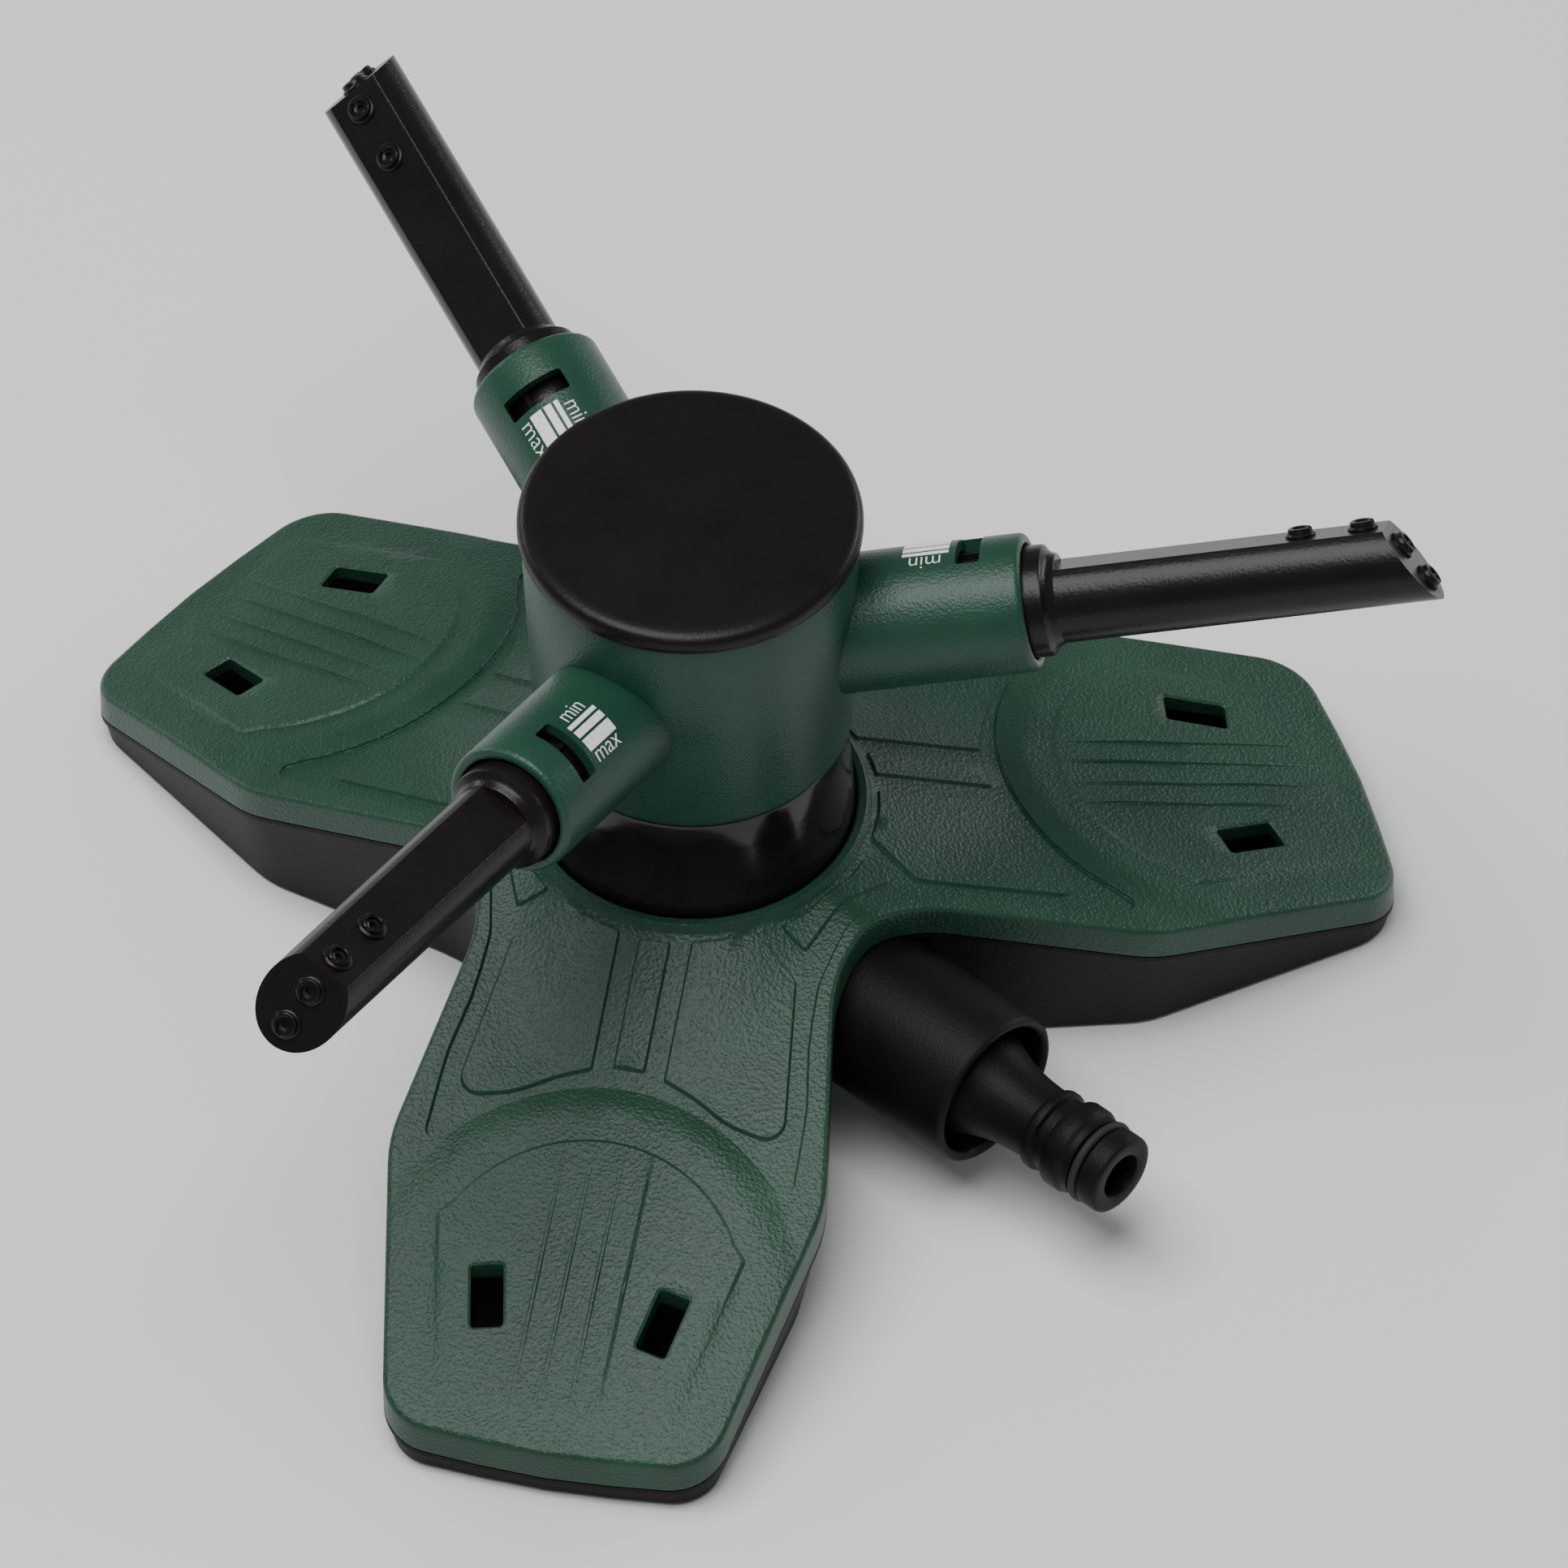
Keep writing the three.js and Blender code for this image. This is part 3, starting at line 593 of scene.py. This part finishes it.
def spun(name, profile, steps=96):
    """A piece turned about Z from (radius, height) points, closed round its own section."""
    bpy.ops.object.select_all(action="DESELECT")
    bpy.ops.mesh.primitive_circle_add(vertices=len(profile), fill_type="NOTHING")
    piece = bpy.context.object
    piece.name = name
    put_points(piece, np.array([(radius, 0, height) for radius, height in profile]))
    bpy.ops.object.mode_set(mode="EDIT")
    bpy.ops.mesh.select_all(action="SELECT")
    bpy.ops.mesh.spin(steps=steps, angle=2 * math.pi, center=(0, 0, 0), axis=(0, 0, 1))
    bpy.ops.mesh.select_all(action="SELECT")
    bpy.ops.mesh.remove_doubles(threshold=1e-4)
    bpy.ops.mesh.delete_loose()
    bpy.ops.mesh.select_all(action="SELECT")
    bpy.ops.mesh.normals_make_consistent(inside=False)
    bpy.ops.object.mode_set(mode="OBJECT")
    return piece


def moved(piece, matrix):
    piece.data.transform(matrix)
    return piece


def merged(pieces, name):
    bpy.ops.object.select_all(action="DESELECT")
    for piece in pieces:
        piece.select_set(True)
    bpy.context.view_layer.objects.active = pieces[0]
    bpy.ops.object.join()
    pieces[0].name = name
    return pieces[0]


def finished(piece, name, material, body, nodes=(), smooth=30):
    """Scales a piece to metres, smooths it and hands it to the body that it moves with."""
    put_points(piece, points_of(piece) * mm)
    work_on(piece)
    bpy.ops.object.shade_smooth_by_angle(angle=math.radians(smooth))
    piece.name = name
    piece.data.materials.clear()
    piece.data.materials.append(material)
    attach(piece, body)
    if nodes:
        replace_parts(piece, *nodes)
    return piece


def shell_rings():
    top = roof(outline) - band_height - shell_gap
    rings = []
    for inset, height in ((0, top), (0, top - lip_tall), (lip_step, top - lip_tall - 0.35)):
        rings.append((inset + 0 * top, height))
    start = top - lip_tall - 0.35
    for part in (0.35, 0.7):
        rings.append((lip_step + shell_lean * start * part, start * (1 - part)))
    rings.append((lip_step + shell_lean * (start - 0.8), 0.8 + 0 * top))
    rings.append((lip_step + shell_lean * start + 0.6, 0 * top))
    return [np.column_stack([shifted(outline, inset), height]) for inset, height in rings]


inlet_place = (Matrix.Rotation(inlet_angle, 4, "Z") @ Matrix.Translation((0, 0, inlet_height))
               @ Matrix.Rotation(math.pi / 2, 4, "Y"))
shell = lofted("shell", shell_rings()[::-1], ends=(True, False))
work_on(shell)
bpy.ops.object.mode_set(mode="EDIT")
bpy.ops.mesh.select_all(action="SELECT")
bpy.ops.mesh.normals_make_consistent(inside=False)
bpy.ops.object.mode_set(mode="OBJECT")
if sum(face.normal.z * face.area for face in shell.data.polygons) > 0:
    shell.data.flip_normals()
applied(shell, "SOLIDIFY", thickness=shell_wall, offset=-1)

slot_places = [Matrix.Rotation(angle, 4, "Z") @ Matrix.Translation((slot_centre[0], side * slot_centre[1], 0))
               @ Matrix.Rotation(-side * slot_turn, 4, "Z") for angle in lobes for side in (-1, 1)]
sleeves = []
for k, spot in enumerate(slot_places):
    sleeve = block("sleeve", (slot_size[0] + 4, slot_size[1] + 4, 60), (0, 0, 31), 1.5)
    moved(sleeve, spot)
    sleeves.append(sleeve)
sleeves = merged(sleeves, "sleeves")
flat_points = points_of(sleeves)
high = flat_points[:, 2] > 30
flat_points[high, 2] = roof(flat_points[high, :2]) - cover_skin - shell_gap
put_points(sleeves, flat_points)
combined(shell, sleeves, "UNION")
slot_cutters = [moved(block("slot", (*slot_size, 120), (0, 0, 30), 0.7), spot) for spot in slot_places]
slot_cutters = merged(slot_cutters, "slots")
combined(shell, slot_cutters, "DIFFERENCE")

screw_spots = [Matrix.Rotation(angle, 3, "Z") @ Vector((52, side * 24, 0))
               for angle in lobes for side in (-1, 1)]
neck_screw_spots = [Matrix.Rotation(angle, 3, "Z") @ Vector((22.5, 0, 0)) for angle in lobes]
all_screw_spots = screw_spots + neck_screw_spots
recesses = [spun("recess", [(0, -1), (3.4, -1), (3.4, 6), (0, 6)], 32) for _ in all_screw_spots]
for recess, spot in zip(recesses, all_screw_spots):
    moved(recess, Matrix.Translation(spot))
combined(shell, merged(recesses, "recesses"), "DIFFERENCE")
inlet_bore = moved(spun("inlet_bore", [(0, 25), (collar_radius + shell_gap, 25),
                                       (collar_radius + shell_gap, 90), (0, 90)]), inlet_place)
combined(shell, inlet_bore, "DIFFERENCE")

satin_black = moulded_plastic("satin_black", (0.0050, 0.0038, 0.0034), (0.0085, 0.0066, 0.0060),
                              (0.42, 0.55), 1900, 0.00005, 0.14)
finished(shell, "base_tray", satin_black, "base", ("base_shell",))

# ---------------------------------------------------------------- neck
# The fixed neck that the rotor turns on. It comes up through the ring of the cover, slightly wider
# at its foot, and is a polished black moulding with a flange below that the screws hold down.
neck = spun("neck", [
    (10, 14), (10, 69.9), (25.4, 69.9), (25.9, 36), (19, 36), (19, 33), (33, 33), (33, 35.5),
    (28.9, 36), (28.9, 50.2), (28.75, 53), (28.45, 56), (28.15, 60), (27.95, 65), (27.9, 71.4),
    (27.75, 72.0), (27.4, 72.35), (27, 72.4), (6.3, 72.4), (6.3, 40), (5, 40), (5, 18), (0, 18), (0, 14),
], 160)
gloss_black = moulded_plastic("gloss_black", (0.0060, 0.0042, 0.0038), (0.0095, 0.0070, 0.0064),
                              (0.10, 0.2), 900, 0.00001)
finished(neck, "neck", gloss_black, "base", ("turret",))

# ---------------------------------------------------------------- hose inlet
# A round black collar lies between two lobes. The push-fit hose nipple is screwed into it: a cone,
# a latch ridge, two grooves and a tip with a rubber ring, with the water way through its middle.
collar = moved(spun("collar", [
    (8.3, 34), (11, 34), (11, 41), (15, 41), (15, 71.6), (14.85, 72.3), (14.4, 72.8), (13.9, 72.9),
    (13.4, 72.7), (13.0, 72.2), (12.9, 71.6), (12.9, 63), (9.6, 63), (9.6, 52), (6, 52), (6, 48), (8.3, 48),
], 128), inlet_place)
finished(collar, "inlet_collar", satin_black, "base", ("inlet_housing",))

nipple = moved(spun("nipple", [
    (9.3, 53.5), (9.3, 63.3), (12.2, 63.3), (12.4, 63.5), (12.4, 65), (12.2, 65.6), (11.4, 67.6),
    (10.5, 69.6),
    (9.6, 71.6), (8.8, 73.8), (8.1, 76), (7.6, 78.4), (7.3, 81), (7.15, 83.2), (7.1, 85.4), (7.45, 85.7),
    (7.8, 85.9), (7.95, 86.3), (7.95, 87.3), (7.8, 87.7), (7.4, 87.95), (7.1, 88.2), (7.1, 90.2), (7.7, 90.6),
    (8.3, 90.95), (8.5, 91.4), (8.5, 94.2), (8.35, 94.7), (7.95, 95.2), (7.8, 95.5), (7.8, 96.7), (7.6, 96.9),
    (6.3, 96.9), (6.3, 99.3), (7.6, 99.3), (7.8, 99.5), (7.8, 102.5), (7.6, 103.05), (7.1, 103.4),
    (6.6, 103.45),
    (4.8, 103.45), (4.4, 103.25), (4.3, 102.9), (4.3, 73), (7, 68), (7, 53.5),
], 112), inlet_place)
finished(nipple, "hose_nipple_turned", satin_black, "base", ("hose_nipple",))

bpy.ops.object.select_all(action="DESELECT")
bpy.ops.mesh.primitive_torus_add(major_radius=7.35, minor_radius=0.85, major_segments=96, minor_segments=16)
tip_ring = moved(bpy.context.object, inlet_place @ Matrix.Translation((0, 0, 98.1)))
soft_rubber = moulded_plastic("soft_rubber", (0.012, 0.012, 0.012), (0.02, 0.02, 0.02),
                              (0.6, 0.75), 2500, 0.00003)
finished(tip_ring, "tip_ring", soft_rubber, "base", ("nipple_o_ring",))

# ---------------------------------------------------------------- rotor
# The green rotor: a drum that widens a little upward and three sockets for the arms, moulded in one.
# Each socket has a window over the arm's pointer and a printed scale beside it.
arm_angles = [math.radians(a) for a in (10.5, 130.5, 250.5)]
arm_rise = math.radians(11.4)
arm_height = 91
scale_turn = math.radians(27)
socket_radius = 12.55
socket_bore = 10.5
window_size = (4.4, 12.2, 9)
window_along = 52.8
along_arm = Matrix.Rotation(math.pi / 2, 4, "Y")


def arm_place(angle):
    return (Matrix.Rotation(angle, 4, "Z") @ Matrix.Translation((0, 0, arm_height))
            @ Matrix.Rotation(-arm_rise, 4, "Y"))


rotor = spun("rotor", [
    (11.1, 73), (27.9, 73), (28.4, 73.15), (28.65, 73.5), (28.75, 74.2), (29.58, 97.5), (30.4, 120.9),
    (30.25, 121.2), (27.9, 121.2), (26.2, 76.5), (11.5, 76.5), (11.5, 85), (8.5, 85), (8.5, 74.2),
    (11.1, 74.2),
], 160)
socket_profile = [
    (socket_bore, 24), (socket_radius, 24), (socket_radius, 61.1), (12.45, 61.6), (12.15, 62.05),
    (11.7, 62.3),
    (11.1, 62.3), (10.75, 62.2), (socket_bore, 61.9),
]
sockets = [moved(spun("socket", socket_profile), arm_place(angle) @ along_arm) for angle in arm_angles]
combined(rotor, merged(sockets, "sockets"), "UNION")
bores = [moved(spun("bore", [(0, 10), (10.45, 10), (10.45, 40), (0, 40)]), arm_place(angle) @ along_arm)
         for angle in arm_angles]
combined(rotor, merged(bores, "bores"), "DIFFERENCE")
windows = [moved(block("window", window_size, (window_along, 0, socket_bore), 0.5),
                 arm_place(angle) @ Matrix.Rotation(-scale_turn, 4, "X")) for angle in arm_angles]
combined(rotor, merged(windows, "windows"), "DIFFERENCE")
smooth_green = moulded_plastic("smooth_green", (0.010, 0.048, 0.027), (0.015, 0.064, 0.037),
                               (0.28, 0.40), 1800, 0.00008, 0.35)
finished(rotor, "rotor_drum", smooth_green, "rotor", ("rotor_body",))

# ---------------------------------------------------------------- printed scales
# White ink on each socket: three bars from thin to thick across the window's arc, with the words
# min and max on their outer sides, read toward the hub.
ink = bpy.data.materials.new("white_ink")
ink.use_nodes = True
ink_where = add_node(ink, "ShaderNodeTexCoord")
ink_wear = add_node(ink, "ShaderNodeTexNoise", Scale=1400.0, Detail=3.0)
ink_tone = add_node(ink, "ShaderNodeValToRGB")
ink_tone.color_ramp.elements[0].position = 0.28
ink_tone.color_ramp.elements[0].color = (0.55, 0.58, 0.55, 1)
ink_tone.color_ramp.elements[1].position = 0.42
ink_tone.color_ramp.elements[1].color = (0.86, 0.86, 0.83, 1)
link(ink, ink_where, "Object", ink_wear, "Vector")
link(ink, ink_wear, "Fac", ink_tone, "Fac")
link(ink, ink_tone, "Color", shader_of(ink), "Base Color")
shader_of(ink).inputs["Roughness"].default_value = 0.45

print_radius = socket_radius + 0.05
print_thick = 0.08
bar_ends = (40.8, 49.3)
bar_widths = (0.9, 1.5, 2.5)
bar_gap = 0.55
word_height = 2.0


def wrapped(piece):
    """Bends a flat print (along, across, thickness) round the socket, centred on the window."""
    flat_points = points_of(piece)
    turn = scale_turn + flat_points[:, 1] / print_radius
    radius = print_radius + flat_points[:, 2]
    put_points(piece, np.column_stack([flat_points[:, 0], radius * np.sin(turn), radius * np.cos(turn)]))
    return piece


def bar(middle, width):
    length = bar_ends[1] - bar_ends[0]
    strip = block("bar", (length, width, print_thick), (sum(bar_ends) / 2, middle, 0))
    work_on(strip)
    bpy.ops.object.mode_set(mode="EDIT")
    bpy.ops.mesh.select_all(action="SELECT")
    bpy.ops.mesh.subdivide(number_cuts=5)
    bpy.ops.object.mode_set(mode="OBJECT")
    return strip


def word(text, foot, length):
    """A word whose letters stand on the line at foot, with their tops toward the scale's low side."""
    bpy.ops.object.select_all(action="DESELECT")
    bpy.ops.object.text_add()
    letters = bpy.context.object
    letters.data.body = text
    letters.data.extrude = 0.01
    letters.data.offset = -0.012
    bpy.ops.object.convert(target="MESH")
    flat_points = points_of(letters)
    low, high = flat_points.min(0), flat_points.max(0)
    tall = flat_points[flat_points[:, 0] > high[0] - 0.3][:, 1].max() - low[1]
    along = sum(bar_ends) / 2 + length / 2 - (flat_points[:, 0] - low[0]) * length / (high[0] - low[0])
    across = foot - (flat_points[:, 1] - low[1]) * word_height / tall
    put_points(letters, np.column_stack([along, across, np.sign(flat_points[:, 2]) * print_thick / 2]))
    return letters


edge = -(sum(bar_widths) + 2 * bar_gap) / 2
first_edge = edge
prints = []
for width in bar_widths:
    prints.append(bar(edge + width / 2, width))
    edge += width + bar_gap
prints.append(word("min", first_edge - 0.6, 5.7))
prints.append(word("max", -first_edge + 0.6 + word_height, 7.3))
scale_print = wrapped(merged(prints, "scale"))
for number, angle in enumerate(arm_angles, 1):
    own = scale_print.copy()
    own.data = scale_print.data.copy()
    bpy.context.scene.collection.objects.link(own)
    finished(moved(own, arm_place(angle)), f"printed_scale_{number}", ink, "rotor", smooth=50)
bpy.data.objects.remove(scale_print)

# ---------------------------------------------------------------- cap
# The flat black cap on the rotor, with a soft rounded edge, pressed in by a ring below.
cap = spun("cap", [
    (0, 117.5), (25.5, 117.5), (27.3, 117.9), (27.3, 121.5), (30.6, 121.5), (30.9, 121.6), (31, 121.9),
    (31, 123.0), (30.85, 123.75), (30.4, 124.4), (29.7, 124.85), (28.8, 125.1), (27.6, 125.18), (0, 125.2),
], 160)
cap_black = moulded_plastic("cap_black", (0.0045, 0.0034, 0.0030), (0.0075, 0.0058, 0.0052),
                            (0.3, 0.42), 1300, 0.00003, 0.22)
finished(cap, "rotor_cap", cap_black, "rotor", ("cap",))

# ---------------------------------------------------------------- spray arms
# Each arm is a round black tube with a flat along its top for the nozzles. It has a collar where it
# goes into its socket, a slanted end closed by a let-in plate, and a pointer under the window.
arm_radius = 8.06
arm_flat = 6.2
flat_end = 127.5
under_end = 135.95
arm_twists = [math.radians(a) for a in (36, 38, 18)]
slant = math.atan2(arm_flat + arm_radius, under_end - flat_end)
plate_edge = 1.3
plate_thick = 1.7


def arm_section(thinned, corner):
    """The arm's cross-section: a circle cut off by the flat, with soft corners."""
    radius, top = arm_radius - thinned, arm_flat - thinned
    half = math.sqrt(radius**2 - top**2)
    start = math.atan2(top, half)
    turns = np.linspace(start, -math.pi - start, 60)[2:-2]
    corners = [(-half, top, corner), (half, top, corner)]
    return rounded(corners + [(radius * math.cos(t), radius * math.sin(t), 0) for t in turns], 18, 30)


def arm_length(name, section, start, end):
    rings = [np.column_stack([0 * section[:, 0] + x, section]) for x in (start, end)]
    piece = lofted(name, rings)
    work_on(piece)
    bpy.ops.object.mode_set(mode="EDIT")
    bpy.ops.mesh.select_all(action="SELECT")
    bpy.ops.mesh.normals_make_consistent(inside=False)
    bpy.ops.object.mode_set(mode="OBJECT")
    return piece


def sliced(piece, set_back, keep_inner=True):
    """Cuts a piece off along the slanted end, set back by the given amount, and closes it."""
    work_on(piece)
    bpy.ops.object.mode_set(mode="EDIT")
    bpy.ops.mesh.select_all(action="SELECT")
    normal = Vector((math.sin(slant), 0, math.cos(slant)))
    on_plane = Vector((flat_end, 0, arm_flat)) - normal * set_back
    bpy.ops.mesh.bisect(plane_co=on_plane, plane_no=normal, use_fill=True,
                        clear_outer=keep_inner, clear_inner=not keep_inner)
    bpy.ops.object.mode_set(mode="OBJECT")
    return piece


def nozzle(place):
    """A round spray nozzle: a low foot, a ring with a notch on its outer side, and a small hole."""
    foot = spun("nozzle", [
        (0.7, -0.6), (2.75, -0.6), (2.75, 0.35), (2.55, 0.6), (2.3, 0.7), (2.2, 1.35), (1.95, 1.55),
        (1.6, 1.55),
        (1.4, 1.35), (1.3, 0.75), (0.7, 0.6),
    ], 40)
    notch = block("notch", (3.4, 1.1, 1.6), (2.2, 0, 1.6), 0)
    combined(foot, notch, "DIFFERENCE")
    return moved(foot, place)


tube = arm_length("tube", arm_section(0, 0.7), 61, 150)
sliced(tube, 0)
recess = sliced(arm_length("recess", arm_section(plate_edge - 0.05, 0.4), 90, 160), plate_thick + 0.05, False)
combined(tube, recess, "DIFFERENCE")
spigot = spun("spigot", [
    (0, 19.5), (9.7, 19.5), (10.1, 20), (10.1, 50.5), (9, 50.5), (9, 59.5), (10.1, 59.5), (10.1, 64.9),
    (9.95, 65.4), (9.5, 65.75), (8.9, 66.1), (8.5, 66.6), (8.2, 67.4), (8.0, 67.6), (0, 67.6),
])
combined(tube, moved(spigot, along_arm), "UNION")
pointer = block("pointer", (5, 1, 2), (window_along, 0, 9.1), 0.3)
combined(tube, pointer, "UNION")
bore = moved(spun("bore", [(0, 18), (6.1, 18), (6.1, 124), (0, 124)], 64), along_arm)
bore.data.transform(Matrix.Translation((0, 0, -0.6)))
combined(tube, bore, "DIFFERENCE")
plate = sliced(arm_length("plate", arm_section(plate_edge, 0.4), 90, 160), plate_thick, False)
sliced(plate, 0)

flat_spots = [Matrix.Translation((along, 0, arm_flat)) for along in (112, 123.3)]
slant_spots = []
for part in (0.27, 0.72):
    along = flat_end + part * (under_end - flat_end)
    down = Matrix.Translation((along, 0, arm_flat - part * (arm_flat + arm_radius)))
    slant_spots.append(down @ Matrix.Rotation(slant, 4, "Y"))
for spot in flat_spots:
    combined(tube, nozzle(spot), "UNION")
for spot in slant_spots:
    combined(plate, nozzle(spot), "UNION")

arm_black = moulded_plastic("arm_black", (0.0050, 0.0038, 0.0034), (0.0085, 0.0064, 0.0058),
                            (0.22, 0.34), 1500, 0.00003, 0.25)
for number, (angle, twist) in enumerate(zip(arm_angles, arm_twists), 1):
    for model, name, node in ((tube, f"spray_tube_{number}", f"arm_{number}_tube"),
                              (plate, f"nozzle_plate_{number}", f"arm_{number}_end_plate")):
        own = model.copy()
        own.data = model.data.copy()
        bpy.context.scene.collection.objects.link(own)
        moved(own, arm_place(angle) @ Matrix.Rotation(-twist, 4, "X"))
        finished(own, name, arm_black, f"arm_{number}", (node,))
        applied(own, "WEIGHTED_NORMAL", keep_sharp=True)
bpy.data.objects.remove(tube)
bpy.data.objects.remove(plate)

# ---------------------------------------------------------------- inner pieces and screws
# What lies inside and below: zinc-plated screws and spring clips, a turned brass spindle and nut, a
# steel filter, rubber seals, and white acetal washers and bushing.


def turned_metal(name, colour, rough):
    """Machined metal: fine marks in its roughness and bump, and slightly uneven colour."""
    material = bpy.data.materials.new(name)
    material.use_nodes = True
    shader = shader_of(material)
    shader.inputs["Metallic"].default_value = 1
    where = add_node(material, "ShaderNodeTexCoord")
    marks = add_node(material, "ShaderNodeTexNoise", Scale=700.0, Detail=5.0)
    tone = add_node(material, "ShaderNodeValToRGB")
    tone.color_ramp.elements[0].color = (*[0.75 * c for c in colour], 1)
    tone.color_ramp.elements[1].color = (*colour, 1)
    finish = add_node(material, "ShaderNodeMapRange")
    finish.inputs["To Min"].default_value = rough - 0.08
    finish.inputs["To Max"].default_value = rough + 0.1
    bump = add_node(material, "ShaderNodeBump", Strength=0.3, Distance=0.00002)
    link(material, where, "Object", marks, "Vector")
    link(material, marks, "Fac", tone, "Fac")
    link(material, tone, "Color", shader, "Base Color")
    link(material, marks, "Fac", finish, "Value")
    link(material, finish, "Result", shader, "Roughness")
    link(material, marks, "Fac", bump, "Height")
    link(material, bump, "Normal", shader, "Normal")
    return material


plated_steel = turned_metal("plated_steel", (0.55, 0.56, 0.58), 0.34)
turned_brass = turned_metal("turned_brass", (0.62, 0.45, 0.2), 0.3)
white_acetal = moulded_plastic("white_acetal", (0.68, 0.67, 0.63), (0.78, 0.77, 0.73),
                               (0.38, 0.5), 1200, 0.00002)
finish_by_slot = {"steel": plated_steel, "brass": turned_brass, "rubber": soft_rubber, "acetal": white_acetal,
                  "satin_black": satin_black}
replaced = {name for piece in bpy.data.objects for name in piece.get("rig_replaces", [])}
for part in frame["record"]["subparts"]:
    if part["node"] not in replaced:
        inner = frame["nodes"][part["node"]]
        inner.data.materials.clear()
        inner.data.materials.append(finish_by_slot[part["material_slot"]])
